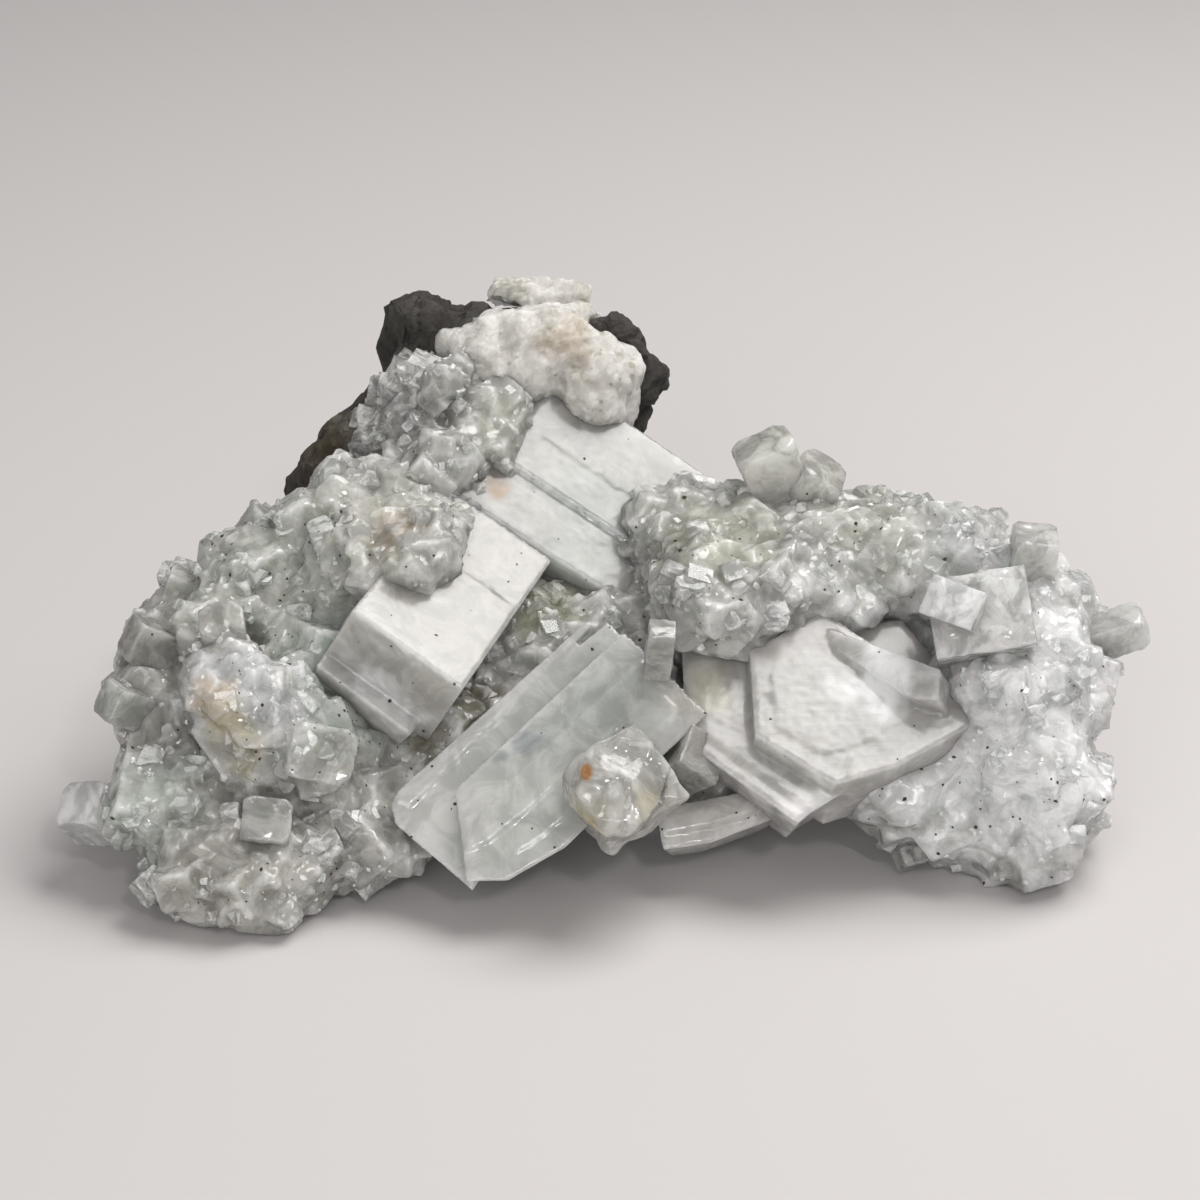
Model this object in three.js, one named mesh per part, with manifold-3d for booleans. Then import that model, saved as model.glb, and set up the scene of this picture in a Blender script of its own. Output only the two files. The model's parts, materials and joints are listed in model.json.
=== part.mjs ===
// Apophyllite cluster: glassy, blocky apophyllite crystals and a druse of small ones, grown over a
// piece of dark basalt, with a thin white zeolite crust between them. It stands on its left and right
// wings and on a heel of rock at the back, and arches over the table between them.
// Millimetres. X to the right, Y away from the viewer, Z up, the table at Z = 0.
import * as THREE from "three";
import { ConvexGeometry } from "three/addons/geometries/ConvexGeometry.js";
import { mergeVertices } from "three/addons/utils/BufferGeometryUtils.js";
import Module from "manifold-3d";

const wasm = await Module();
wasm.setup();

// Driving dimensions
const clusterWidth = 105; // left tip to right tip; all else keeps its proportion to it
const gap = 0.3; // between one kind of mineral and the next
const druseSpacing = 7.6; // between the middles of neighbouring small crystals
const druseSizes = [2.8, 4.6]; // small crystals, smallest and largest width
const druseSeed = 11;

// A repeatable random number from 0 to 1
function makeRandom(seed) {
  let state = seed >>> 0;
  return () => {
    state = (Math.imul(state, 1664525) + 1013904223) >>> 0;
    return state / 4294967296;
  };
}

// A closed geometry as a solid that can be joined and cut
function solid(geometry) {
  const bare = geometry.clone();
  bare.deleteAttribute("normal");
  bare.deleteAttribute("uv");
  const merged = mergeVertices(bare, 1e-3);
  return new wasm.Manifold(
    new wasm.Mesh({
      numProp: 3,
      vertProperties: new Float32Array(merged.attributes.position.array),
      triVerts: new Uint32Array(merged.index.array),
    }),
  );
}

// A solid as a geometry for a mesh
function geometryOf(body) {
  const mesh = body.getMesh();
  const corners = new Float32Array(mesh.numVert * 3);
  for (let i = 0; i < mesh.numVert; i++) {
    corners.set(mesh.vertProperties.subarray(i * mesh.numProp, i * mesh.numProp + 3), i * 3);
  }
  const geometry = new THREE.BufferGeometry();
  geometry.setAttribute("position", new THREE.BufferAttribute(corners, 3));
  geometry.setIndex(new THREE.BufferAttribute(new Uint32Array(mesh.triVerts), 1));
  return geometry;
}

// The frame of a crystal: its c-axis is up, and its a-axis is as near side as it can be
function crystalFrame({ at, up, side }) {
  const c = new THREE.Vector3(...up).normalize();
  const a = new THREE.Vector3(...side);
  a.addScaledVector(c, -a.dot(c)).normalize();
  const b = new THREE.Vector3().crossVectors(c, a);
  return new THREE.Matrix4().makeBasis(a, b, c).setPosition(...at);
}

// The corners of a rectangle with its own corners cut off, at height z of a crystal
function ring({ z, a, b, cut = 0, shift = [0, 0] }) {
  const corners = [];
  for (const [sa, sb] of [[1, 1], [-1, 1], [-1, -1], [1, -1]]) {
    const x = shift[0] + sa * a;
    const y = shift[1] + sb * b;
    if (cut === 0) corners.push(new THREE.Vector3(x, y, z));
    else corners.push(new THREE.Vector3(x - sa * cut, y, z), new THREE.Vector3(x, y - sb * cut, z));
  }
  return corners;
}

// A crystal: the convex shape through its rings, which gives it flat faces
function crystal(spec) {
  const corners = spec.rings.flatMap(ring);
  return solid(new ConvexGeometry(corners).applyMatrix4(crystalFrame(spec)));
}

// A block with the corners of its free end cut off, as apophyllite grows
function block({ at, up, side, size, cut = 0 }) {
  const [length, width, depth] = size.map((s) => s / 2);
  const top = { z: length, a: width, b: depth, cut };
  const shoulder = { z: length - cut, a: width, b: depth };
  return crystal({ at, up, side, rings: [top, shoulder, { ...shoulder, z: -length }] });
}

// How far a lump stands proud of its ellipsoid in a direction, as a share of its radius
function unevenness(p, phase) {
  return Math.sin(2.3 * p.x + phase) * Math.sin(2.9 * p.y + 1.7 * phase)
    + 0.6 * Math.sin(5.1 * p.z + 4.3 * p.x + 0.7 * phase)
    + 0.4 * Math.sin(7.7 * p.y - 6.1 * p.z + 2.1 * phase);
}

// A rounded mass with an uneven, faceted skin; square above 0 makes it boxy, as broken rock is
function lump({ at, radii, tilt = [0, 0, 0], rough = 0.08, square = 0, detail = 2 }, grow = 0) {
  const geometry = new THREE.IcosahedronGeometry(1, detail);
  const corners = geometry.getAttribute("position");
  const p = new THREE.Vector3();
  const phase = at[0] + 2 * at[1] + 3 * at[2];
  for (let i = 0; i < corners.count; i++) {
    p.fromBufferAttribute(corners, i);
    const longest = Math.max(Math.abs(p.x), Math.abs(p.y), Math.abs(p.z));
    const reach = 1 + rough * unevenness(p, phase) + square * (1 / longest - 1);
    p.multiplyScalar(reach);
    p.set(p.x * (radii[0] + grow), p.y * (radii[1] + grow), p.z * (radii[2] + grow));
    corners.setXYZ(i, p.x, p.y, p.z);
  }
  const turn = new THREE.Euler(...tilt.map((degrees) => THREE.MathUtils.degToRad(degrees)));
  const place = new THREE.Matrix4().makeRotationFromEuler(turn).setPosition(...at);
  return solid(geometry.applyMatrix4(place));
}

// True where a point is inside a lump's ellipsoid, made larger or smaller by a margin
function insideLump({ at, radii, tilt = [0, 0, 0] }, point, margin = 0) {
  const turn = new THREE.Euler(...tilt.map((degrees) => THREE.MathUtils.degToRad(degrees)));
  const back = new THREE.Matrix4().makeRotationFromEuler(turn).setPosition(...at).invert();
  const p = point.clone().applyMatrix4(back);
  return Math.hypot(...radii.map((r, i) => p.getComponent(i) / (r + margin))) < 1;
}

const join = (bodies) => wasm.Manifold.union(bodies);

// Everything below the table is off, which leaves flat feet, and so is any loose chip
function standOnTable(body) {
  const depth = 20;
  const under = new THREE.BoxGeometry(200, 200, depth).translate(0, 0, -depth / 2);
  const pieces = body.subtract(solid(under)).decompose();
  return pieces.sort((a, b) => b.volume() - a.volume())[0];
}

// A slab of crystal: a flat outline at its top face, drawn along its own axes, and its thickness;
// the taper is how far the far side draws in, as a share of the outline
function plate({ at, up, side, outline, thick, taper = 1 }) {
  const middleX = outline.reduce((sum, corner) => sum + corner[0], 0) / outline.length;
  const middleY = outline.reduce((sum, corner) => sum + corner[1], 0) / outline.length;
  const corners = outline.flatMap(([x, y]) => [
    new THREE.Vector3(x, y, 0),
    new THREE.Vector3(middleX + taper * (x - middleX), middleY + taper * (y - middleY), -thick),
  ]);
  return solid(new ConvexGeometry(corners).applyMatrix4(crystalFrame({ at, up, side })));
}

// The rock

const rockLumps = [
  { at: [-14, 25, 34], radii: [8.4, 5, 11], square: 0.55, rough: 0.08 }, // peak
  { at: [-17.6, 25, 42], radii: [3, 3.4, 4.6], square: 0.5, rough: 0.07 }, // peak, top
  { at: [-23, 20.5, 32.6], radii: [11.5, 5.5, 4.4], tilt: [0, -54, 0], square: 0.45 }, // left flank
  { at: [3, 23.5, 40.6], radii: [5, 2.6, 1.9], tilt: [0, 49, 0], square: 0.4 }, // right strip
  { at: [-5.5, 25, 30.5], radii: [9.5, 5, 10], tilt: [0, 15, 0], square: 0.5, detail: 1 }, // behind the crystals
  { at: [-4, 24, 17], radii: [20, 8, 11.5], tilt: [0, 14, 0], square: 0.5, rough: 0.1 }, // back
  { at: [-1, 25, 6], radii: [14, 7.4, 9], square: 0.5, rough: 0.08 }, // heel
  { at: [22, 17, 14.5], radii: [15, 7.5, 7.5], tilt: [20, 8, 0], square: 0.45, detail: 1 }, // right wing
  { at: [-26, 14, 21], radii: [11.5, 7.5, 7.5], tilt: [0, -8, 0], square: 0.45, detail: 1 }, // left wing
];

function basaltMatrix() {
  return standOnTable(join(rockLumps.map((spec) => lump(spec))));
}

// The white crust

const crustLumps = [
  { at: [-8, 20.5, 41.2], radii: [8.6, 4.2, 5.4], rough: 0.12 }, // front, left
  { at: [-0.6, 20, 38.8], radii: [4.8, 4, 5.4], rough: 0.12 }, // front, right
  { at: [-4.5, 24, 42.8], radii: [5, 4, 3.2], rough: 0.12 }, // saddle
  { at: [-7, 27, 45], radii: [5.6, 2.8, 2.4], rough: 0.14 }, // rear ridge
];

function whiteCrust() {
  const crust = join(crustLumps.map((spec) => lump(spec)));
  return crust.subtract(join(rockLumps.map((spec) => lump(spec, gap))));
}

// The large crystals

const pairUp = [0.401, -0.436, 0.805]; // the two blocks that grew parallel
const pairSide = [0.82, -0.221, -0.528];
const farUp = [0.305, -0.608, 0.733]; // the right one of them leans back a little
const beamUp = [0.026, -0.726, 0.688]; // the long block at the front
const beamSide = [0.715, 0.494, 0.494];
const slabUp = [0.08, -0.551, 0.831]; // the broad stepped block on the right
const slabSide = [0.993, 0.113, -0.021];

const plates = [
  // left block of the pair, and the lower terrace along its left
  {
    at: [-13.7, -3.6, 27],
    up: pairUp,
    side: pairSide,
    outline: [[-6.5, -10], [6.2, -10.2], [6, 10], [-6, 10]],
    thick: 17,
  },
  {
    at: [-16.6, -0.4, 21.2],
    up: pairUp,
    side: pairSide,
    outline: [[-6.4, -12], [4.6, -12.4], [4.6, 8], [-8, 8]],
    thick: 12,
    taper: 0.8,
  },
  // right block of the pair, with its thin last layer
  {
    at: [0.2, 11.6, 30.5],
    up: farUp,
    side: pairSide,
    outline: [[-11.8, -10], [11.6, -9], [12, 8.8], [-12, 8.5]],
    thick: 13,
  },
  {
    at: [2.4, 13.1, 31.4],
    up: farUp,
    side: pairSide,
    outline: [[-11, -6.2], [7, -5.6], [8.6, -2], [11, 6], [-11, 5.4]],
    thick: 3,
  },
  // long block, its bevelled upper edge and its end
  {
    at: [-7.5, -16.5, 13.4],
    up: beamUp,
    side: beamSide,
    outline: [[-5.4, 3.2], [17, 3.4], [17, -8], [-2, -8], [-8, -6.6], [-10.8, -4]],
    thick: 8,
    taper: 0.62,
  },
  {
    at: [-7.5, -15.4, 12.2],
    up: beamUp,
    side: beamSide,
    outline: [[-10.4, 6.8], [17, 5.6], [17, 2], [-10.6, -4.6], [-11.4, 5]],
    thick: 8,
    taper: 0.75,
  },
  // stepped block on the right: its lower terrace and the raised one
  {
    at: [18.5, -13.4, 14.6],
    up: slabUp,
    side: slabSide,
    outline: [[-9.8, 12.3], [-10.4, 1.1], [-8.6, -0.7], [-0.7, -8], [1, -6.6], [18.6, 2.9], [12, 14]],
    thick: 9,
    taper: 0.68,
  },
  {
    at: [24.4, -12.6, 17.3],
    up: slabUp,
    side: slabSide,
    outline: [[-9.5, 7.9], [-10, -1.5], [-3.2, -6.9], [3, -5.2], [8.8, -2.1], [11.9, -0.3], [-2, 12]],
    thick: 8,
  },
  // thin bright plate that stands on it
  {
    at: [27, -9.5, 21.6],
    up: [-0.35, -0.62, 0.7],
    side: [0.8, -0.6, -0.13],
    outline: [[-7, 0.9], [-5, -0.8], [4.2, -2], [6.4, -1.2], [5.2, 1.6]],
    thick: 5,
  },
  // long low slab under the middle
  {
    at: [12, -14.5, 7.5],
    up: [0.1, -0.75, 0.65],
    side: [0.97, 0.1, 0.2],
    outline: [[-6.4, 2.4], [-6.6, -1.6], [-2, -1.8], [6.6, -0.4], [7, 2.4]],
    thick: 7,
    taper: 0.7,
  },
];

const boxes = [
  { at: [-48.6, -12, 6.8], up: [-0.35, -0.5, 0.8], side: [0.9, -0.3, 0.2], size: [5, 4.4, 4.4], cut: 0.7 },
  { at: [-45.2, -9, 16.9], up: [-0.7, -0.5, 0.5], side: [0.5, -0.8, 0], size: [4.4, 3.6, 3.6], cut: 0.5 },
  { at: [-43, -4, 21], up: [-0.8, -0.3, 0.5], side: [0.4, -0.9, 0], size: [5, 4, 4], cut: 0.6 },
  { at: [-35.7, -7.5, 24.2], up: [0, -0.6, 0.8], side: [1, 0, 0.3], size: [4, 4.2, 4], cut: 0.8 },
  { at: [-31.3, -19, 9.2], up: [0.15, -0.7, 0.7], side: [1, 0, -0.1], size: [5, 4.6, 4.2], cut: 0.8 },
  { at: [8.6, -13, 13], up: [0.5, -0.6, 0.6], side: [0.7, 0.1, -0.6], size: [5, 4.4, 4.2], cut: 0 },
  { at: [5.6, -10.6, 23.4], up: [0.1, -0.3, 0.95], side: [1, 0, 0], size: [5.6, 2.5, 2.5], cut: 0 },
  { at: [49.6, 0, 20.3], up: [0.85, -0.1, 0.35], side: [0, 1, 0.2], size: [7, 3.6, 3.4], cut: 0.8 },
  { at: [41.6, 1, 26.6], up: [0.1, -0.15, 1], side: [1, 0, 0], size: [8.4, 4.2, 4.2], cut: 0.6 },
  { at: [17, 9, 33.2], up: [-0.3, -0.1, 0.9], side: [1, 0.2, 0.3], size: [7.6, 5.6, 5.5], cut: 1.2 },
  { at: [20.4, 9, 31.4], up: [0.5, -0.2, 0.8], side: [0.8, 0, -0.5], size: [6.6, 4.6, 5], cut: 1 },
  { at: [36.2, -6.6, 24.8], up: [-0.12, -0.82, 0.55], side: [0.96, -0.05, 0.2], size: [9, 9.4, 7.6], cut: 0 },
  { at: [33.6, -9, 27.4], up: [-0.25, -0.85, 0.46], side: [0.93, -0.2, -0.3], size: [7, 5.2, 3.8], cut: 0 },
  { at: [29.8, -11, 3.4], up: [0.3, -0.5, -0.7], side: [0.8, 0.3, 0.2], size: [5, 3.4, 3.4], cut: 0.6 },
  { at: [2, -20, 13.6], up: [0.1, -0.75, 0.65], side: [0.8, 0.3, 0.5], size: [8, 8.8, 8.2], cut: 2 },
];

const blocks = [...plates.map(plate), ...boxes.map(block)];

// The rounded masses that the small crystals cover
const massLumps = [
  { at: [-40, 1, 20.6], radii: [5.6, 6.5, 4] }, // left shoulder, end
  { at: [-33.5, 4, 22.6], radii: [6.6, 7.5, 4.8] }, // left shoulder
  { at: [-27.5, 6.5, 26], radii: [6, 6.5, 5.4] }, // left shoulder, inner
  { at: [-23, 8, 31.6], radii: [5, 5.5, 3.6] }, // pale knobs above the left block
  { at: [-20, 2, 28], radii: [6, 6.5, 4.4] }, // stained knobs on the left block
  { at: [-10.5, 14.5, 35.8], radii: [4.8, 5.5, 4.8] }, // knobs at the end of the right block
  { at: [-33.5, -11, 19.2], radii: [7, 5.5, 4], tilt: [0, 20, 0] }, // cream lump
  { at: [-41.5, -4, 14], radii: [5.4, 8, 5.6] }, // dark recess
  { at: [-40.5, -11, 9], radii: [6.6, 6.6, 5] }, // left, low
  { at: [-34.5, -18.4, 4.2], radii: [8.4, 6.4, 6.2] }, // left foot
  { at: [-30, -7, 12.6], radii: [9.5, 9.5, 7] }, // left middle
  { at: [-27.5, 0, 19.6], radii: [6, 7, 5.4] }, // beside the left block
  { at: [-19, -3, 11], radii: [9, 8, 6.4] }, // under the left block
  { at: [-23, -12, 6.4], radii: [9, 6.5, 5] }, // left front, low
  { at: [0, 4, 16], radii: [22, 15, 6], tilt: [33, 0, 0] }, // heart
  { at: [10, -5, 10], radii: [9, 6, 4.4] }, // behind the low slab
  { at: [13, 8.5, 26.6], radii: [9.5, 6, 4.8] }, // saddle
  { at: [12, -1, 25.2], radii: [7.5, 7, 4.4] }, // yellowish druse
  { at: [21, 3, 24.4], radii: [7, 7, 5] }, // glittering druse
  { at: [27, 6, 26], radii: [6.8, 7, 4.8] }, // right shoulder, inner
  { at: [34.5, 5, 24.2], radii: [7, 7, 5.2] }, // right shoulder
  { at: [41, 2, 20.4], radii: [5.6, 7, 5.2] }, // right shoulder, end
  { at: [24, 0, 14], radii: [15, 11, 5.4], tilt: [30, 0, 0] }, // under the stepped block
  { at: [39.5, -4, 15], radii: [8.6, 9, 8.6] }, // right end
  { at: [38.8, -8.2, 6.8], radii: [9.6, 7.6, 8.2] }, // right foot
  { at: [28, -10, 9], radii: [6.6, 5.8, 4] }, // right, low
];

// Small crystals over the rounded masses: blocks and four-sided points, turned every way
function druse() {
  const random = makeRandom(druseSeed);
  const between = (low, high) => low + (high - low) * random();
  const seeds = [];
  const bodies = [];
  for (const mass of massLumps) {
    const turn = new THREE.Euler(...(mass.tilt ?? [0, 0, 0]).map((t) => THREE.MathUtils.degToRad(t)));
    const steps = 90;
    for (let i = 0; i < steps; i++) {
      const height = 1 - (2 * i + 1) / steps;
      const around = i * 2.39996 + mass.at[0];
      const flat = Math.sqrt(1 - height * height);
      const way = new THREE.Vector3(flat * Math.cos(around), flat * Math.sin(around), height);
      const radii = new THREE.Vector3(...mass.radii);
      const point = way.clone().multiply(radii).applyEuler(turn).add(new THREE.Vector3(...mass.at));
      const out = way.clone().divide(radii).normalize().applyEuler(turn);
      const hidden = massLumps.some((m) => m !== mass && insideLump(m, point, -0.6))
        || rockLumps.some((m) => insideLump(m, point, 1.2))
        || crustLumps.some((m) => insideLump(m, point, 1.2))
        || plates.some((p) => overPlate(p, point));
      const low = point.z < 1.5 || out.z < -0.75;
      const crowded = seeds.some((s) => s.distanceTo(point) < druseSpacing);
      if (hidden || low || crowded) continue;
      seeds.push(point);
      const lean = new THREE.Vector3(between(-1, 1), between(-1, 1), between(-1, 1));
      const up = out.clone().addScaledVector(lean, 0.45);
      const wide = between(...druseSizes);
      const at = point.clone().addScaledVector(out, -0.1 * wide);
      const side = [between(-1, 1), between(-1, 1), between(-1, 1)];
      const frame = { at: at.toArray(), up: up.toArray(), side };
      if (random() < 0.6) {
        bodies.push(block({ ...frame, size: [1.2 * wide, wide, 0.9 * wide] }));
      } else {
        const half = wide / 2;
        const foot = { z: -half, a: 0.8 * half, b: 0.8 * half };
        const shoulder = { z: 0.3 * half, a: half, b: half };
        const top = { z: 1.3 * half, a: 0.35 * half, b: 0.35 * half };
        bodies.push(crystal({ ...frame, rings: [foot, shoulder, top] }));
      }
    }
  }
  return bodies;
}

// True where a point is within a plate or just in front of its top face
function overPlate({ at, up, side, outline, thick }, point) {
  const p = point.clone().applyMatrix4(crystalFrame({ at, up, side }).invert());
  const xs = outline.map((corner) => corner[0]);
  const ys = outline.map((corner) => corner[1]);
  const within = p.x > Math.min(...xs) && p.x < Math.max(...xs)
    && p.y > Math.min(...ys) && p.y < Math.max(...ys);
  return within && p.z > -thick && p.z < 3;
}

function apophyllite() {
  const bodies = [...massLumps.map((spec) => lump({ ...spec, detail: 1 })), ...blocks, ...druse()];
  const rock = join(rockLumps.map((spec) => lump(spec, gap)));
  const crust = join(crustLumps.map((spec) => lump(spec, gap)));
  return standOnTable(join(bodies).subtract(rock).subtract(crust));
}

const materials = {
  basalt: new THREE.MeshStandardMaterial({ color: 0x46443c, roughness: 0.9, metalness: 0 }),
  crust: new THREE.MeshStandardMaterial({ color: 0xd9d5cc, roughness: 0.75, metalness: 0 }),
  apophyllite: new THREE.MeshStandardMaterial({ color: 0xc3c9c2, roughness: 0.2, metalness: 0 }),
};

function piece(name, body, material) {
  const mesh = new THREE.Mesh(geometryOf(body), material);
  mesh.name = name;
  return mesh;
}

const cluster = new THREE.Group();
cluster.add(piece("basalt_matrix", basaltMatrix(), materials.basalt));
cluster.add(piece("white_crust", whiteCrust(), materials.crust));
cluster.add(piece("apophyllite_crystals", apophyllite(), materials.apophyllite));

// To its full width, and with the middle of its base at the origin
const box = new THREE.Box3().setFromObject(cluster);
const size = box.getSize(new THREE.Vector3());
const middle = box.getCenter(new THREE.Vector3());
const scale = clusterWidth / size.x;
for (const mesh of cluster.children) {
  mesh.geometry.translate(-middle.x, -middle.y, 0).scale(scale, scale, scale);
}

export default cluster;
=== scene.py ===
import json
import math
import random

import bpy
import bmesh
import numpy as np
from mathutils import Euler, Matrix, Vector, noise
from mathutils.bvhtree import BVHTree

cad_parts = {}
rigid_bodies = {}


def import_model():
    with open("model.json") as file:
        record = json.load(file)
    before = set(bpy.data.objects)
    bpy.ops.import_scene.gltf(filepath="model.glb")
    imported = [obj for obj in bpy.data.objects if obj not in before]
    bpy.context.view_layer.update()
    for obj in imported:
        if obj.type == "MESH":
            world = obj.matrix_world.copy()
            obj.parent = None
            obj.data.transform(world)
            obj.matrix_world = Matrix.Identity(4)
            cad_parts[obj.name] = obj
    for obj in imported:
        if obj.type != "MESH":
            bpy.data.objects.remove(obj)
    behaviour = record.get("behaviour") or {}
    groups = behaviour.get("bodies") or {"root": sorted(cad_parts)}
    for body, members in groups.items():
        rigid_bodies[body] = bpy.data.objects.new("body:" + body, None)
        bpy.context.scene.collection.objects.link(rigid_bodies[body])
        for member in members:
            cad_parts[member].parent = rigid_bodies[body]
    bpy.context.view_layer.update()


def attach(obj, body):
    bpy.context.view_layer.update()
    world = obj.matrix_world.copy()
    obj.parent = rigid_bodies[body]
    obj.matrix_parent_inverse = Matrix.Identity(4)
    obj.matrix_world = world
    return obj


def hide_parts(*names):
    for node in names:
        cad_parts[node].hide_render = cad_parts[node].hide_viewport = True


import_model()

mm = 0.001
lowestSkin = 0.05 * mm   # the skin is never pushed under the table
dice = random.Random(4944)
noise.seed_set(4944)   # without it noise_vector differs from run to run

# the middle of the cluster's base as the solids have it, in millimetres, and their scale to full width
cluster = {"middle": (0.895, 2.928, 0.0), "scale": 0.99775}


def place(point):
    return (Vector(point) - Vector(cluster["middle"])) * cluster["scale"] * mm


def deselectAll():
    if bpy.context.object and bpy.context.object.mode != "OBJECT":
        bpy.ops.object.mode_set(mode="OBJECT")
    bpy.ops.object.select_all(action="DESELECT")


def makeActive(piece):
    deselectAll()
    piece.select_set(True)
    bpy.context.view_layer.objects.active = piece


def joinPieces(pieces, name):
    deselectAll()
    for piece in pieces:
        piece.select_set(True)
    bpy.context.view_layer.objects.active = pieces[0]
    if len(pieces) > 1:
        bpy.ops.object.join()
    joined = bpy.context.view_layer.objects.active
    joined.name = name
    joined.data.name = name
    return joined


def applyModifiers(piece):
    makeActive(piece)
    for modifier in list(piece.modifiers):
        bpy.ops.object.modifier_apply(modifier=modifier.name)


def remesh(piece, voxel):
    makeActive(piece)
    modifier = piece.modifiers.new("remesh", "REMESH")
    modifier.mode = "VOXEL"
    modifier.voxel_size = voxel * mm
    applyModifiers(piece)


def soften(piece, factor, rounds):
    makeActive(piece)
    modifier = piece.modifiers.new("smooth", "SMOOTH")
    modifier.factor = factor
    modifier.iterations = rounds
    applyModifiers(piece)


def skinOf(piece):
    count = len(piece.data.vertices)
    places = np.empty(count * 3)
    normals = np.empty(count * 3)
    piece.data.vertices.foreach_get("co", places)
    piece.data.vertices.foreach_get("normal", normals)
    return places.reshape(-1, 3), normals.reshape(-1, 3)


def moveSkin(piece, places, normals, amount):
    moved = places + normals * (amount * mm)[:, None]
    moved[:, 2] = np.maximum(moved[:, 2], lowestSkin)
    piece.data.vertices.foreach_set("co", moved.ravel())
    piece.data.update()


def roughen(piece, waves):
    # each wave: how far it moves the skin in millimetres, and its size as waves per metre
    places, normals = skinOf(piece)
    amount = np.zeros(len(places))
    for reach, scale in waves:
        amount += reach * np.array([noise.noise(Vector(p) * scale) for p in places])
    moveSkin(piece, places, normals, amount)


def facet(piece, size, tilt):
    # flat facets, each tipped its own way, as crystals that grew into one another show them
    places, normals = skinOf(piece)
    amount = np.empty(len(places))
    for index, p in enumerate(places):
        spot = Vector(p) / (size * mm)
        seed = noise.voronoi(spot)[1][0]
        way = noise.noise_vector(seed * 7.3)
        amount[index] = (spot - seed).dot(way) * tilt
    moveSkin(piece, places, normals, amount)


# camera: what it aims at and how far it stands, in millimetres, its angle above the table and its lens
view = {"aim": (0.0, 0.0, 23.9), "distance": 330.0, "elevation": 24.0, "lens": 102.5, "sensor": 36}


def addCamera():
    lift = math.radians(view["elevation"])
    aim = place(view["aim"])
    back = Vector((0, -math.cos(lift), math.sin(lift)))
    data = bpy.data.cameras.new("camera")
    camera = bpy.data.objects.new("camera", data)
    bpy.context.scene.collection.objects.link(camera)
    data.lens = view["lens"]
    data.sensor_width = view["sensor"]
    camera.location = aim + back * view["distance"] * mm
    camera.rotation_mode = "QUATERNION"
    camera.rotation_quaternion = (-back).to_track_quat("-Z", "Y")
    bpy.context.scene.camera = camera


addCamera()
print("camera in place")


# materials: helpers that add and join nodes
def addNode(tree, kind, **settings):
    made = tree.nodes.new(kind)
    for key, value in settings.items():
        setattr(made, key, value)
    return made


def feed(tree, source, target):
    tree.links.new(source, target)


def noiseAt(tree, coords, scale, detail=4.0, rough=0.55, twist=0.0):
    made = addNode(tree, "ShaderNodeTexNoise")
    made.inputs["Scale"].default_value = scale
    made.inputs["Detail"].default_value = detail
    made.inputs["Roughness"].default_value = rough
    made.inputs["Distortion"].default_value = twist
    feed(tree, coords, made.inputs["Vector"])
    return made.outputs["Fac"]


def spread(tree, value, low, high, to=(0.0, 1.0)):
    made = addNode(tree, "ShaderNodeMapRange", interpolation_type="SMOOTHSTEP")
    made.inputs["From Min"].default_value = low
    made.inputs["From Max"].default_value = high
    made.inputs["To Min"].default_value = to[0]
    made.inputs["To Max"].default_value = to[1]
    feed(tree, value, made.inputs["Value"])
    return made.outputs["Result"]


def combine(tree, kind, a, b):
    made = addNode(tree, "ShaderNodeMath", operation=kind)
    for socket, value in zip(made.inputs, (a, b)):
        if isinstance(value, (int, float)):
            socket.default_value = value
        else:
            feed(tree, value, socket)
    return made.outputs[0]


def tint(tree, base, colour, amount):
    made = addNode(tree, "ShaderNodeMix", data_type="RGBA")
    if isinstance(base, tuple):
        made.inputs[6].default_value = (*base, 1)
    else:
        feed(tree, base, made.inputs[6])
    made.inputs[7].default_value = (*colour, 1)
    if isinstance(amount, (int, float)):
        made.inputs[0].default_value = amount
    else:
        feed(tree, amount, made.inputs[0])
    return made.outputs[2]


def objectCoords(tree):
    return addNode(tree, "ShaderNodeTexCoord").outputs["Object"]


def specks(tree, coords, scale, radius, share):
    cells = addNode(tree, "ShaderNodeTexVoronoi")
    cells.inputs["Scale"].default_value = scale
    feed(tree, coords, cells.inputs["Vector"])
    dot = spread(tree, cells.outputs["Distance"], radius, radius * 0.6)   # soft towards its rim
    pick = addNode(tree, "ShaderNodeSeparateColor")
    feed(tree, cells.outputs["Color"], pick.inputs[0])
    kept = combine(tree, "LESS_THAN", pick.outputs[0], share)
    return combine(tree, "MULTIPLY", dot, kept)


def facetsAt(tree, coords, scale):
    # flat facets, each tipped its own way: a height in metres
    cells = addNode(tree, "ShaderNodeTexVoronoi")
    cells.inputs["Scale"].default_value = scale
    feed(tree, coords, cells.inputs["Vector"])
    offset = addNode(tree, "ShaderNodeVectorMath", operation="SUBTRACT")
    feed(tree, coords, offset.inputs[0])
    feed(tree, cells.outputs["Position"], offset.inputs[1])
    way = addNode(tree, "ShaderNodeVectorMath", operation="SUBTRACT")
    feed(tree, cells.outputs["Color"], way.inputs[0])
    way.inputs[1].default_value = (0.5, 0.5, 0.5)
    slope = addNode(tree, "ShaderNodeVectorMath", operation="DOT_PRODUCT")
    feed(tree, offset.outputs[0], slope.inputs[0])
    feed(tree, way.outputs[0], slope.inputs[1])
    return slope.outputs["Value"]


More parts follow.
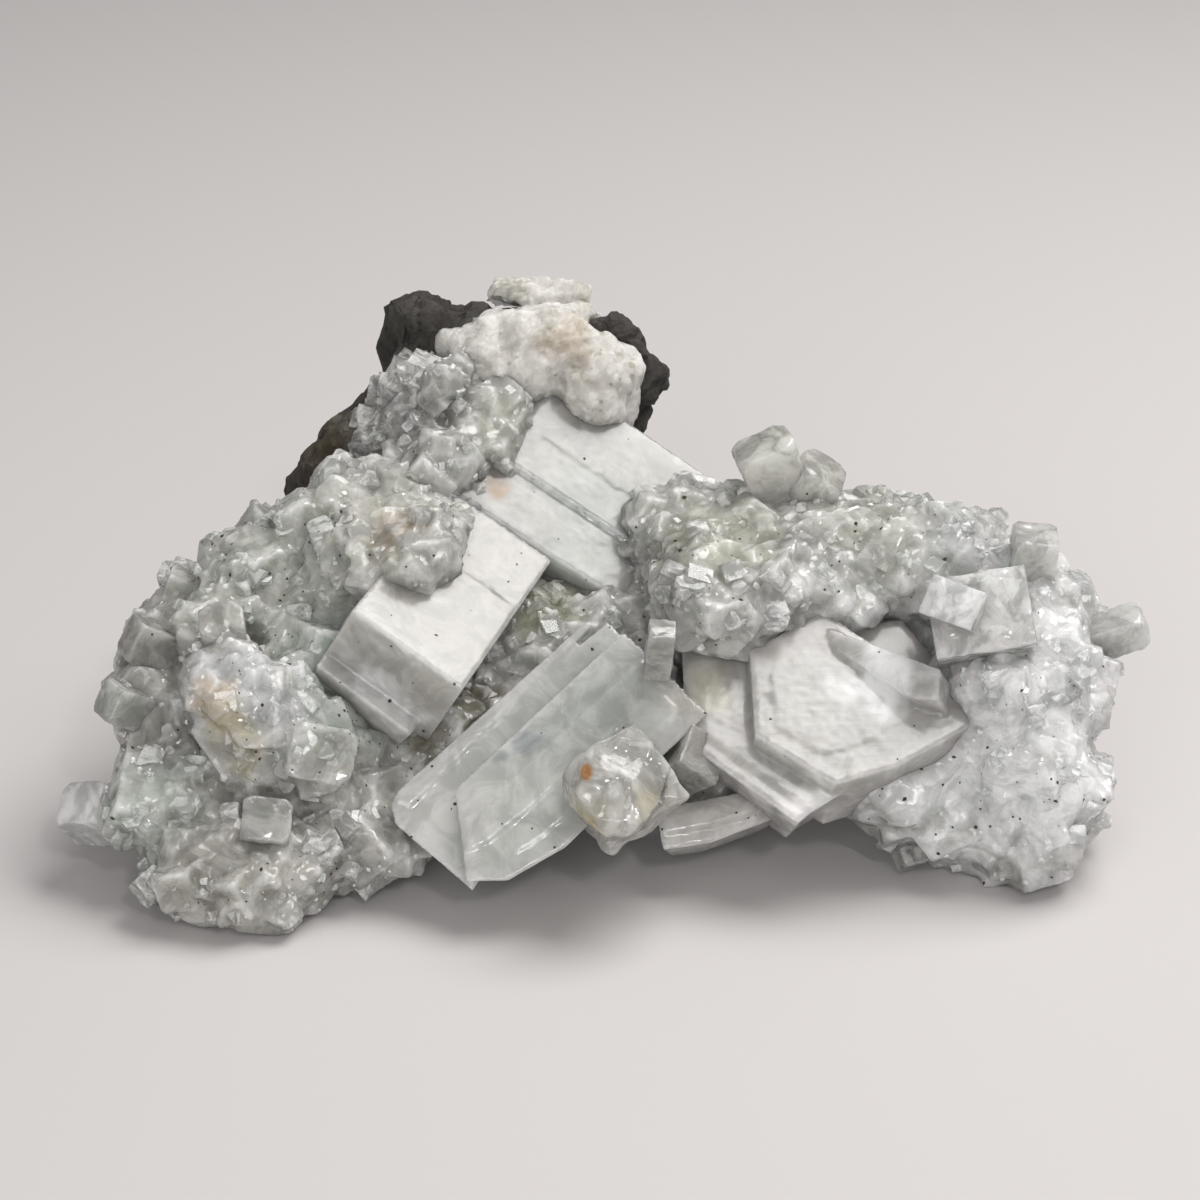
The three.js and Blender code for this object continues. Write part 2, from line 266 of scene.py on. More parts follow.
# colour zones: where in the cluster, how far they reach in millimetres, their colour and how strong they are;
# mostly the crystals' own tone, some also painted light
zones = [
    {"at": (-36, -12, 14), "reach": 27, "colour": (0.514, 0.5, 0.457), "amount": 0.85},
    {"at": (-30, 0, 25), "reach": 13, "colour": (0.581, 0.599, 0.539), "amount": 0.7},
    {"at": (-26, -9, 18), "reach": 9, "colour": (0.528, 0.599, 0.539), "amount": 0.8},
    {"at": (-42, -17, 10), "reach": 7, "colour": (0.596, 0.663, 0.601), "amount": 0.6},
    {"at": (-37, -24, 7), "reach": 8, "colour": (0.42, 0.402, 0.36), "amount": 0.7},
    {"at": (-40.5, -14, 18), "reach": 5, "colour": (0.175, 0.173, 0.151), "amount": 0.85},
    # painted light in part: these three make the right wing, its foot and its low front near-white, partly
    # the crystals' paler tone, partly the brighter light from the right painted in
    {"at": (38, -6, 18), "reach": 24, "colour": (0.92, 0.92, 0.92), "amount": 0.8},
    {"at": (43, -13, 10), "reach": 9, "colour": (0.92, 0.92, 0.92), "amount": 0.8},
    {"at": (35, -14, 12), "reach": 6, "colour": (0.92, 0.92, 0.92), "amount": 0.6},
    {"at": (27, 5, 28), "reach": 9, "colour": (0.541, 0.541, 0.463), "amount": 0.7},
    {"at": (35, 3, 29), "reach": 5, "colour": (0.541, 0.541, 0.541), "amount": 0.7},
    {"at": (11, 1, 29), "reach": 8, "colour": (0.541, 0.541, 0.43), "amount": 0.65},
    {"at": (8.6, -9, 18), "reach": 4.5, "colour": (0.92, 0.92, 0.92), "amount": 0.6},
    {"at": (-33, -14, 20.5), "reach": 8.5, "colour": (0.644, 0.644, 0.644), "amount": 1.0},
    {"at": (-36.2, -16, 20.4), "reach": 3.0, "colour": (0.686, 0.469, 0.252), "amount": 0.45},
    {"at": (-34, -16, 17.2), "reach": 4.0, "colour": (0.792, 0.715, 0.477), "amount": 0.6},
    {"at": (-20, 1, 31), "reach": 8.0, "colour": (0.644, 0.633, 0.552), "amount": 0.7},
    {"at": (-19, -2, 31), "reach": 3.6, "colour": (0.528, 0.389, 0.288), "amount": 0.6},
    {"at": (-10, 13, 37), "reach": 6.5, "colour": (0.644, 0.644, 0.561), "amount": 0.6},
    {"at": (-10.2, 8.2, 32.2), "reach": 1.6, "colour": (0.476, 0.26, 0.088), "amount": 0.85},
    {"at": (-12.5, -6.3, 16.2), "reach": 3.4, "colour": (0.15, 0.13, 0.0836), "amount": 0.8},
    {"at": (-16.1, -10.3, 14.2), "reach": 2.8, "colour": (0.132, 0.112, 0.0669), "amount": 0.8},
    {"at": (-5.4, 2.2, 21.9), "reach": 4.5, "colour": (0.397, 0.402, 0.262), "amount": 0.7},
    {"at": (-2, -24, 12.2), "reach": 3.0, "colour": (0.792, 0.623, 0.276), "amount": 0.8},
    {"at": (5, -24.3, 14.3), "reach": 3.0, "colour": (0.92, 0.872, 0.518), "amount": 0.5},
    {"at": (-1.3, -23.1, 16.9), "reach": 0.8, "colour": (0.66, 0.286, 0.0501), "amount": 0.9},
    {"at": (-17, 14, 37.5), "reach": 6.0, "colour": (0.288, 0.282, 0.256), "amount": 0.85},
    {"at": (-22, 12, 33), "reach": 4.5, "colour": (0.316, 0.301, 0.261), "amount": 0.8},
]
# the same for the large crystals
blockZones = [
    # painted light: near-white over the lower left side of the left block, which the lamps leave dimmer than
    # its top
    {"at": (-21, -3, 17), "reach": 9, "colour": (0.92, 0.92, 0.92), "amount": 0.8},
    {"at": (-20, 1, 31), "reach": 5.0, "colour": (0.664, 0.618, 0.534), "amount": 0.6},
    {"at": (0, 9, 28), "reach": 7, "colour": (0.393, 0.414, 0.393), "amount": 0.8},
    {"at": (-10.2, 8.2, 32.2), "reach": 1.6, "colour": (0.327, 0.181, 0.0636), "amount": 0.85},
    {"at": (-15, -20, 11), "reach": 6, "colour": (0.636, 0.626, 0.6), "amount": 0.7},
    {"at": (-1, -12, 18), "reach": 7, "colour": (0.418, 0.436, 0.418), "amount": 0.7},
    {"at": (-7.5, -14.3, 15.7), "reach": 1.8, "colour": (0.272, 0.299, 0.309), "amount": 0.7},
    {"at": (-9.5, -15.3, 14.7), "reach": 1.2, "colour": (0.292, 0.319, 0.327), "amount": 0.7},
    {"at": (8.6, -9, 18), "reach": 4.5, "colour": (0.6, 0.585, 0.482), "amount": 0.8},
    {"at": (27, -10.5, 21.6), "reach": 5, "colour": (0.92, 0.92, 0.92), "amount": 0.9},
    {"at": (19.5, -18.8, 11.2), "reach": 3, "colour": (0.889, 0.877, 0.855), "amount": 0.9},
]
# stains on single crystals
stains = [
    {"at": (-2, -24, 12.2), "reach": 3.0, "colour": (0.6, 0.49, 0.24), "amount": 0.7},
    {"at": (5, -24.3, 14.3), "reach": 2.6, "colour": (0.56, 0.5, 0.32), "amount": 0.5},
    {"at": (-1.3, -23.1, 16.9), "reach": 0.8, "colour": (0.5, 0.22, 0.05), "amount": 0.9},
    {"at": (5, -22, 17), "reach": 3.0, "colour": (0.56, 0.55, 0.52), "amount": 0.6},
]


def clusterCoords(piece):
    count = len(piece.data.vertices)
    places = np.empty(count * 3)
    piece.data.vertices.foreach_get("co", places)
    return places.reshape(-1, 3) / (mm * cluster["scale"]) + np.array(cluster["middle"])


# zones end in a ragged, soft edge; worn edges are where the skin stands out, in millimetres
zoneEdge = {"start": 1.15, "ragged": 0.45, "soft": 0.8, "wave": 0.35, "fineWave": 0.9, "fineShare": 0.6}
edgeWear = {"rounds": 3, "full": 0.12, "least": 0.1}


def bulge(piece):
    # how far each corner of the mesh stands out from its neighbours, in millimetres
    mesh = piece.data
    count = len(mesh.vertices)
    places, normals = skinOf(piece)
    edges = np.empty(len(mesh.edges) * 2, dtype=np.int64)
    mesh.edges.foreach_get("vertices", edges)
    edges = edges.reshape(-1, 2)
    links = np.bincount(edges.ravel(), minlength=count)[:, None]
    smooth = places
    for smoothing in range(edgeWear["rounds"]):
        total = np.zeros_like(smooth)
        np.add.at(total, edges[:, 0], smooth[edges[:, 1]])
        np.add.at(total, edges[:, 1], smooth[edges[:, 0]])
        smooth = total / np.maximum(links, 1)
    return ((places - smooth) * normals).sum(axis=1) / mm


def paintTone(piece, base, zoneList, edgeGain=0.0, lift=0.0):
    # the slow changes of colour over the cluster, with painted light and shade in some zones, kept on the
    # mesh's corners, and its worn edges as alpha
    places = clusterCoords(piece)
    wave, fineWave, fineShare = zoneEdge["wave"], zoneEdge["fineWave"], zoneEdge["fineShare"]
    ragged = np.array([
        noise.noise(Vector(p) * wave) + fineShare * noise.noise(Vector(p) * fineWave) for p in places
    ])
    tone = np.tile(np.array(base), (len(places), 1))
    for zone in zoneList:
        gap = np.linalg.norm(places - np.array(zone["at"]), axis=1) / zone["reach"]
        near = np.clip((zoneEdge["start"] - gap + zoneEdge["ragged"] * ragged) / zoneEdge["soft"], 0, 1)
        weight = (near * near * (3 - 2 * near) * zone["amount"])[:, None]
        tone = tone * (1 - weight) + np.array(zone["colour"]) * weight
    tone += (1 - tone) * lift
    worn = np.zeros(len(places))
    if edgeGain:
        worn = np.clip(bulge(piece) / edgeWear["full"] - edgeWear["least"], 0, 1) * edgeGain
    layer = piece.data.attributes.new("tone", "FLOAT_COLOR", "POINT")
    layer.data.foreach_set("color", np.column_stack([tone, worn]).ravel())


# the crystals' finishes
# clear: the share of light that passes straight through; reach: how far the rest spreads, in millimetres
# milk, shade and specks: pale veils, darker patches and dark grains; lines and facets: shares of the relief
finishes = {
    "face": {
        "clear": (0.08, 0.26), "reach": 7.0, "rough": (0.12, 0.26),
        "milk": 0.15, "shade": 0.1, "specks": 0.035, "relief": 0.045, "lines": 0.45, "facets": 0.0,
    },
    "druse": {
        "clear": (0.06, 0.3), "reach": 5.0, "rough": (0.07, 0.24),
        "milk": 0.3, "shade": 0.2, "specks": 0.16, "relief": 0.12, "lines": 0.0, "facets": 1.0,
    },
    "milky": {
        "clear": (0.25, 0.55), "reach": 5.0, "rough": (0.08, 0.22),
        "milk": 0.25, "shade": 0.15, "specks": 0.07, "relief": 0.08, "lines": 0.0, "facets": 0.25,
    },
}
clearFinishes = {
    "clear": {"clear": (0.7, 1.0), "rough": (0.04, 0.14)},
    "small": {"clear": (0.25, 0.7), "rough": (0.1, 0.3)},
}
apophyllite = {
    "ior": 1.535, "spreadPerColour": (0.9, 1.0, 0.95),
    "absorption": (0.88, 0.94, 0.89, 1), "density": 10.0, "reliefDepth": 0.2,
}
crystalColours = {
    "glass": (1.0, 0.99, 0.965),
    "pale": (0.52, 0.515, 0.485),
    "milk": (0.74, 0.735, 0.715),
    "shade": (0.24, 0.26, 0.225),
    "speck": (0.09, 0.072, 0.055),
}


def startMaterial(name):
    material = bpy.data.materials.new(name)
    material.use_nodes = True
    tree = material.node_tree
    tone = addNode(tree, "ShaderNodeAttribute", attribute_name="tone")
    return material, tree, tree.nodes["Principled BSDF"], objectCoords(tree), tone


def addRelief(tree, shader, height, strength, distance):
    bump = addNode(tree, "ShaderNodeBump")
    bump.inputs["Strength"].default_value = strength
    bump.inputs["Distance"].default_value = distance * mm
    feed(tree, height, bump.inputs["Height"])
    feed(tree, bump.outputs["Normal"], shader.inputs["Normal"])


def milkyMaterial(name):
    # light spreads inside these; pale veils, darker patches, worn pale edges and dark specks colour them
    finish = finishes[name]
    depth = apophyllite["reliefDepth"]
    material, tree, shader, coords, tone = startMaterial(name)
    cloud = noiseAt(tree, coords, 260, 5, 0.62, 1.2)
    fine = noiseAt(tree, coords, 1100, 5, 0.7, 0.8)
    shade = spread(tree, cloud, 0.5, 0.3, (0.0, finish["shade"]))
    colour = tint(tree, tone.outputs["Color"], crystalColours["shade"], shade)
    veil = combine(tree, "ADD", spread(tree, cloud, 0.52, 0.72), spread(tree, fine, 0.5, 0.75))
    colour = tint(tree, colour, crystalColours["milk"], combine(tree, "MULTIPLY", veil, finish["milk"]))
    colour = tint(tree, colour, crystalColours["milk"], tone.outputs["Alpha"])
    colour = tint(tree, colour, crystalColours["speck"], specks(tree, coords, 780, 0.13, finish["specks"]))
    feed(tree, colour, shader.inputs["Base Color"])
    feed(tree, spread(tree, cloud, 0.35, 0.68, finish["rough"]), shader.inputs["Roughness"])
    shader.inputs["IOR"].default_value = apophyllite["ior"]
    feed(tree, spread(tree, cloud, 0.6, 0.4, finish["clear"]), shader.inputs["Transmission Weight"])
    shader.inputs["Subsurface Weight"].default_value = 1.0
    shader.inputs["Subsurface Radius"].default_value = apophyllite["spreadPerColour"]
    shader.inputs["Subsurface Scale"].default_value = finish["reach"] * mm
    relief = combine(tree, "MULTIPLY", noiseAt(tree, coords, 900, 4, 0.6), 0.8 * finish["relief"])
    if finish["lines"]:
        growth = addNode(tree, "ShaderNodeAttribute", attribute_name="growth")
        stretch = addNode(tree, "ShaderNodeMapping")
        stretch.inputs["Scale"].default_value = (0.05, 1.6, 1.6)
        feed(tree, growth.outputs["Vector"], stretch.inputs["Vector"])
        lines = noiseAt(tree, stretch.outputs["Vector"], 1.0, 5, 0.7)
        lines = combine(tree, "MULTIPLY", lines, 4 * finish["lines"] * finish["relief"])
        relief = combine(tree, "ADD", relief, lines)
    if finish["facets"]:
        broken = combine(tree, "ADD", facetsAt(tree, coords, 420), facetsAt(tree, coords, 1100))
        broken = combine(tree, "MULTIPLY", broken, finish["facets"] / (depth * mm))
        relief = combine(tree, "ADD", relief, broken)
    addRelief(tree, shader, relief, 1.0, depth)
    return material


def clearMaterial(name):
    # see-through crystal with a little milk in it
    finish = clearFinishes[name]
    material, tree, shader, coords, tone = startMaterial(name)
    cloud = noiseAt(tree, coords, 500, 4, 0.6, 1.2)
    colour = tint(tree, tone.outputs["Color"], crystalColours["milk"], tone.outputs["Alpha"])
    feed(tree, colour, shader.inputs["Base Color"])
    feed(tree, spread(tree, cloud, 0.35, 0.68, finish["rough"]), shader.inputs["Roughness"])
    feed(tree, spread(tree, cloud, 0.62, 0.42, finish["clear"]), shader.inputs["Transmission Weight"])
    shader.inputs["IOR"].default_value = apophyllite["ior"]
    addRelief(tree, shader, noiseAt(tree, coords, 900, 3, 0.6), 0.12, apophyllite["reliefDepth"])
    absorb = addNode(tree, "ShaderNodeVolumeAbsorption")
    absorb.inputs["Color"].default_value = apophyllite["absorption"]
    absorb.inputs["Density"].default_value = apophyllite["density"]
    feed(tree, absorb.outputs[0], tree.nodes["Material Output"].inputs["Volume"])
    return material


# stones: their dark and pale tints, roughness, depth of grain and how far light spreads, in millimetres
stones = {
    "basalt": {
        "low": (0.012, 0.01, 0.008), "high": (0.16, 0.15, 0.13), "rough": 0.8, "relief": 0.5, "reach": 0.0,
    },
    "crust": {
        "low": (0.42, 0.39, 0.33), "high": (0.8, 0.78, 0.74), "rough": 0.4, "relief": 0.15, "reach": 3.0,
    },
}


def stoneMaterial(name):
    stone = stones[name]
    low, high, relief = stone["low"], stone["high"], stone["relief"]
    material, tree, shader, coords, tone = startMaterial(name)
    patch = noiseAt(tree, coords, 240, 7, 0.65, 0.8)
    colour = tint(tree, tone.outputs["Color"], low, spread(tree, patch, 0.5, 0.3, (0.0, 0.75)))
    colour = tint(tree, colour, high, spread(tree, patch, 0.52, 0.72, (0.0, 0.6)))
    coarse = specks(tree, coords, 520, 0.24, 0.22)
    dots = combine(tree, "MAXIMUM", coarse, specks(tree, coords, 1100, 0.3, 0.2))
    colour = tint(tree, colour, low, combine(tree, "MULTIPLY", dots, 0.8))
    feed(tree, colour, shader.inputs["Base Color"])
    shader.inputs["Roughness"].default_value = stone["rough"]
    if stone["reach"]:
        shader.inputs["Subsurface Weight"].default_value = 1.0
        shader.inputs["Subsurface Radius"].default_value = (1, 1, 1)
        shader.inputs["Subsurface Scale"].default_value = stone["reach"] * mm
    grain = combine(tree, "ADD", noiseAt(tree, coords, 1300, 8, 0.7), noiseAt(tree, coords, 350, 5, 0.6, 1.0))
    broken = combine(tree, "ADD", facetsAt(tree, coords, 600), facetsAt(tree, coords, 1500))
    grain = combine(tree, "ADD", grain, combine(tree, "MULTIPLY", broken, 0.9 / (relief * mm)))
    addRelief(tree, shader, grain, 0.7, relief)
    return material


crystalFinish = {name: milkyMaterial(name) for name in finishes}
crystalFinish.update({name: clearMaterial(name) for name in clearFinishes})
basaltFinish = stoneMaterial("basalt")
crustFinish = stoneMaterial("crust")
print("materials made")


def crystalFrame(at, up, side):
    c = Vector(up).normalized()
    a = Vector(side)
    a = (a - c * a.dot(c)).normalized()
    turned = Matrix((a, c.cross(a), c)).transposed().to_4x4()
    turned.translation = place(at)
    return turned


pairUp = (0.401, -0.436, 0.805)
pairSide = (0.82, -0.221, -0.528)
farUp = (0.305, -0.608, 0.733)
beamUp = (0.026, -0.726, 0.688)
beamSide = (0.715, 0.494, 0.494)
slabUp = (0.08, -0.551, 0.831)
slabSide = (0.993, 0.113, -0.021)

# large crystals: outlines in millimetres along each crystal's own axes, as in the solids
# steps: the last thin layers on a face, each a share of the outline, moved along it, and its height
largeCrystals = [
    {
        "name": "leftBlock", "tone": (0.46, 0.445, 0.415),
        "plates": [
            {"at": (-13.7, -3.6, 27), "up": pairUp, "side": pairSide, "thick": 17,
             "outline": [(-6.5, -10), (6.2, -10.2), (6, 10), (-6, 10)],
             "steps": [(0.97, 0.6, -0.1, -4.0, 0.06)]},
            {"at": (-16.6, -0.4, 21.2), "up": pairUp, "side": pairSide, "thick": 12,
             "outline": [(-6.4, -12), (4.6, -12.4), (4.6, 8), (-8, 8)], "taper": 0.8, "steps": []},
        ],
    },
    {
        "name": "farBlock", "tone": (0.44, 0.432, 0.405),
        "plates": [
            {"at": (0.2, 11.6, 30.5), "up": farUp, "side": pairSide, "thick": 13,
             "outline": [(-11.8, -10), (11.6, -9), (12, 8.8), (-12, 8.5)],
             "steps": [(0.9, 0.4, 0.3, 4.4, 0.07), (0.6, 0.22, 1.2, -1.0, 0.05)]},
            {"at": (2.4, 13.1, 31.4), "up": farUp, "side": pairSide, "thick": 3,
             "outline": [(-11, -6.2), (7, -5.6), (8.6, -2), (11, 6), (-11, 5.4)],
             "steps": [(0.8, 0.5, -0.5, 1.8, 0.05)]},
        ],
    },
    {
        "name": "beam", "tone": (0.52, 0.525, 0.5),
        "plates": [
            {"at": (-7.5, -16.5, 13.4), "up": beamUp, "side": beamSide, "thick": 8,
             "outline": [(-5.4, 3.2), (17, 3.4), (17, -8), (-2, -8), (-8, -6.6), (-10.8, -4)], "taper": 0.62,
             "steps": [(0.9, 0.28, 0.6, 1.6, 0.2), (0.75, 0.2, 2.0, -1.6, 0.14)]},
            {"at": (-7.5, -15.4, 12.2), "up": beamUp, "side": beamSide, "thick": 8,
             "outline": [(-10.4, 6.8), (17, 5.6), (17, 2), (-10.6, -4.6), (-11.4, 5)], "taper": 0.75,
             "steps": [(0.9, 0.16, 0.4, 3.6, 0.2)]},
        ],
    },
    {
        "name": "rightBlock", "tone": (0.46, 0.445, 0.425),
        "plates": [
            {"at": (18.5, -13.4, 14.6), "up": slabUp, "side": slabSide, "thick": 9, "taper": 0.68,
             "outline": [(-9.8, 12.3), (-10.4, 1.1), (-8.6, -0.7), (-0.7, -8), (1, -6.6), (18.6, 2.9),
                         (12, 14)],
             "steps": [(0.9, 0.9, 0.8, 0.6, 0.12)]},
            {"at": (24.4, -12.6, 17.3), "up": slabUp, "side": slabSide, "thick": 8,
             "outline": [(-9.5, 7.9), (-10, -1.5), (-3.2, -6.9), (3, -5.2), (8.8, -2.1), (11.9, -0.3),
                         (-2, 12)],
             "steps": [(0.6, 0.6, -2.0, 0.2, 0.05)]},
            {"at": (27, -9.5, 21.6), "up": (-0.35, -0.62, 0.7), "side": (0.8, -0.6, -0.13), "thick": 5,
             "outline": [(-7, 0.9), (-5, -0.8), (4.2, -2), (6.4, -1.2), (5.2, 1.6)],
             "steps": []},
        ],
    },
    {
        "name": "lowSlab", "tone": (0.58, 0.56, 0.53),
        "plates": [
            {"at": (12, -14.5, 7.5), "up": (0.1, -0.75, 0.65), "side": (0.97, 0.1, 0.2), "thick": 7,
             "outline": [(-6.4, 2.4), (-6.6, -1.6), (-2, -1.8), (6.6, -0.4), (7, 2.4)], "taper": 0.7,
             "steps": [(0.9, 0.4, 0.0, 0.4, 0.2)]},
        ],
    },
]


crystalSkin = {"voxel": 0.26, "waves": [(0.04, 420), (0.025, 1300)], "stepDepth": 2}


def prism(outline, thick, taper=1.0):
    # a flat outline, extruded down and drawn in
    deselectAll()
    bpy.ops.mesh.primitive_circle_add(vertices=len(outline), radius=mm, fill_type="NGON")
    piece = bpy.context.object
    middle = Vector((sum(x for x, y in outline), sum(y for x, y in outline), 0)) / len(outline)
    for vertex, (x, y) in zip(piece.data.vertices, outline):
        vertex.co = Vector((x, y, 0)) * mm
    bpy.ops.object.mode_set(mode="EDIT")
    bpy.ops.mesh.select_all(action="SELECT")
    bpy.ops.mesh.extrude_region_move(TRANSFORM_OT_translate={"value": (0, 0, -thick * mm)})
    bpy.ops.transform.resize(value=(taper, taper, 1), center_override=middle * mm)
    bpy.ops.mesh.select_all(action="SELECT")
    bpy.ops.mesh.normals_make_consistent(inside=False)
    bpy.ops.object.mode_set(mode="OBJECT")
    return piece


def rememberGrowth(piece, frameOfGrowth):
    # the growth lines follow the crystal's own axes, in millimetres
    inverse = frameOfGrowth.inverted()
    layer = piece.data.attributes.new("growth", "FLOAT_VECTOR", "POINT")
    for vertex, value in zip(piece.data.vertices, layer.data):
        value.vector = inverse @ vertex.co / mm


def growPlate(plate):
    outline = plate["outline"]
    turned = crystalFrame(plate["at"], plate["up"], plate["side"])
    layers = [prism(outline, plate["thick"], plate.get("taper", 1.0))]
    middle = (sum(x for x, y in outline) / len(outline), sum(y for x, y in outline) / len(outline))
    for shareX, shareY, moveX, moveY, height in plate["steps"]:
        shape = [
            (middle[0] + shareX * (x - middle[0]) + moveX, middle[1] + shareY * (y - middle[1]) + moveY)
            for x, y in outline
        ]
        step = prism(shape, crystalSkin["stepDepth"])
        step.data.transform(Matrix.Translation((0, 0, height * mm)))
        layers.append(step)
    for layer in layers:
        layer.data.transform(turned)
    return layers


def growCrystal(spec):
    layers = [layer for plate in spec["plates"] for layer in growPlate(plate)]
    piece = joinPieces(layers, spec["name"])
    remesh(piece, crystalSkin["voxel"])
    roughen(piece, crystalSkin["waves"])
    piece.data.materials.append(crystalFinish["face"])
    makeActive(piece)
    bpy.ops.object.shade_smooth()
    first = spec["plates"][0]
    rememberGrowth(piece, crystalFrame(first["at"], first["up"], first["side"]))
    print(spec["name"], len(piece.data.polygons), "faces")
    return piece


largePieces = [growCrystal(spec) for spec in largeCrystals]
allPlates = [plate for spec in largeCrystals for plate in spec["plates"]]
print("large crystals grown:", len(largePieces))


# single crystals that stand out, each a block with its corners cut off; milky where no finish is given
singles = [
    {"name": "leftTipCube", "at": (-48.6, -12, 6.8), "up": (-0.35, -0.5, 0.8), "side": (0.9, -0.3, 0.2),
     "size": (5, 4.4, 4.4), "cut": 0.7, "tone": (0.84, 0.84, 0.82)},
    {"name": "leftEdgeCube", "at": (-45.2, -9, 16.9), "up": (-0.7, -0.5, 0.5), "side": (0.5, -0.8, 0),
     "size": (4.4, 3.6, 3.6), "cut": 0.5, "tone": (0.5, 0.5, 0.47)},
    {"name": "leftCorner", "at": (-43, -4, 21), "up": (-0.8, -0.3, 0.5), "side": (0.4, -0.9, 0),
     "size": (5, 4, 4), "cut": 0.6, "tone": (0.42, 0.41, 0.38)},
    {"name": "roundedCrystal", "at": (-35.7, -7.5, 24.2), "up": (0, -0.6, 0.8), "side": (1, 0, 0.3),
     "size": (4, 4.2, 4), "cut": 1.2, "tone": (0.5, 0.49, 0.45)},
    {"name": "footBlock", "at": (-31.3, -19, 9.2), "up": (0.15, -0.7, 0.7), "side": (1, 0, -0.1),
     "size": (5, 4.6, 4.2), "cut": 0.8, "tone": (0.46, 0.46, 0.43)},
    # painted shade: this cube's dark tone stands for the shade of the recess under the right block
    {"name": "gapCube", "at": (8.6, -13, 13), "up": (0.5, -0.6, 0.6), "side": (0.7, 0.1, -0.6),
     "size": (5, 4.4, 4.2), "cut": 0, "tone": (0.36, 0.35, 0.32)},
    {"name": "smallPrism", "at": (5.6, -10.6, 23.4), "up": (0.1, -0.3, 0.95), "side": (1, 0, 0),
     "size": (5.6, 2.5, 2.5), "cut": 0, "tone": (0.5, 0.49, 0.46)},
    {"name": "spike", "at": (49.6, 0, 20.3), "up": (0.85, -0.1, 0.35), "side": (0, 1, 0.2),
     "size": (7, 3.6, 3.4), "cut": 0.8, "tone": (0.6, 0.59, 0.57)},
    {"name": "tallBlock", "at": (41.6, 1, 26.6), "up": (0.1, -0.15, 1), "side": (1, 0, 0),
     "size": (8.4, 4.2, 4.2), "cut": 0.6, "tone": (0.66, 0.65, 0.62)},
    {"name": "skylineLump", "at": (17, 9, 33.2), "up": (-0.3, -0.1, 0.9), "side": (1, 0.2, 0.3),
     "size": (7.6, 5.6, 5.5), "cut": 1.0, "uneven": 0.4, "tone": (0.66, 0.65, 0.6)},
    {"name": "skylineBlock", "at": (20.4, 9, 31.4), "up": (0.5, -0.2, 0.8), "side": (0.8, 0, -0.5),
     "size": (6.6, 4.6, 5), "cut": 0.9, "uneven": 0.4, "tone": (0.66, 0.65, 0.6)},
    {"name": "windowBody", "at": (36.2, -6.6, 24.8), "up": (-0.12, -0.82, 0.55), "side": (0.96, -0.05, 0.2),
     "size": (9, 9.4, 7.6), "cut": 0, "tone": (0.74, 0.73, 0.71)},
    {"name": "windowBlock", "at": (33.6, -9, 27.4), "up": (-0.25, -0.85, 0.46), "side": (0.93, -0.2, -0.3),
     "size": (7, 5.2, 3.8), "cut": 0, "tone": (0.9, 0.9, 0.9)},
    {"name": "hangingCrystal", "at": (29.8, -11, 3.4), "up": (0.3, -0.5, -0.7), "side": (0.8, 0.3, 0.2),
     "size": (5, 3.4, 3.4), "cut": 0.6, "finish": "clear", "tone": (0.9, 0.9, 0.87)},
    {"name": "frontLump", "at": (2, -20, 13.6), "up": (0.1, -0.75, 0.65), "side": (0.8, 0.3, 0.5),
     "size": (8, 8.8, 8.2), "cut": 2.8, "uneven": 1.5, "tone": (0.58, 0.565, 0.53)},
]


singleSkin = {"voxel": 0.14, "uneven": 0.1, "unevenWave": 260, "waves": [(0.08, 700), (0.04, 1500)]}


def growSingle(spec):
    deselectAll()
    length, width, depth = spec["size"]
    bpy.ops.mesh.primitive_cube_add(size=1, scale=(width * mm, depth * mm, length * mm))
    piece = bpy.context.object
    bpy.ops.object.transform_apply(location=False, rotation=False, scale=True)
    if spec["cut"]:
        bpy.ops.object.mode_set(mode="EDIT")
        bpy.ops.mesh.select_all(action="SELECT")
        bpy.ops.mesh.bevel(offset=spec["cut"] * mm, segments=1, affect="VERTICES")
        bpy.ops.object.mode_set(mode="OBJECT")
    piece.name = spec["name"]
    piece.data.transform(crystalFrame(spec["at"], spec["up"], spec["side"]))
    piece.data.materials.append(crystalFinish[spec.get("finish", "milky")])
    remesh(piece, singleSkin["voxel"])
    uneven = spec.get("uneven", singleSkin["uneven"])
    roughen(piece, [(uneven, singleSkin["unevenWave"]), *singleSkin["waves"]])
    makeActive(piece)
    bpy.ops.object.shade_smooth()
    return piece


singlePieces = [growSingle(spec) for spec in singles]
print("single crystals grown:", len(singlePieces))


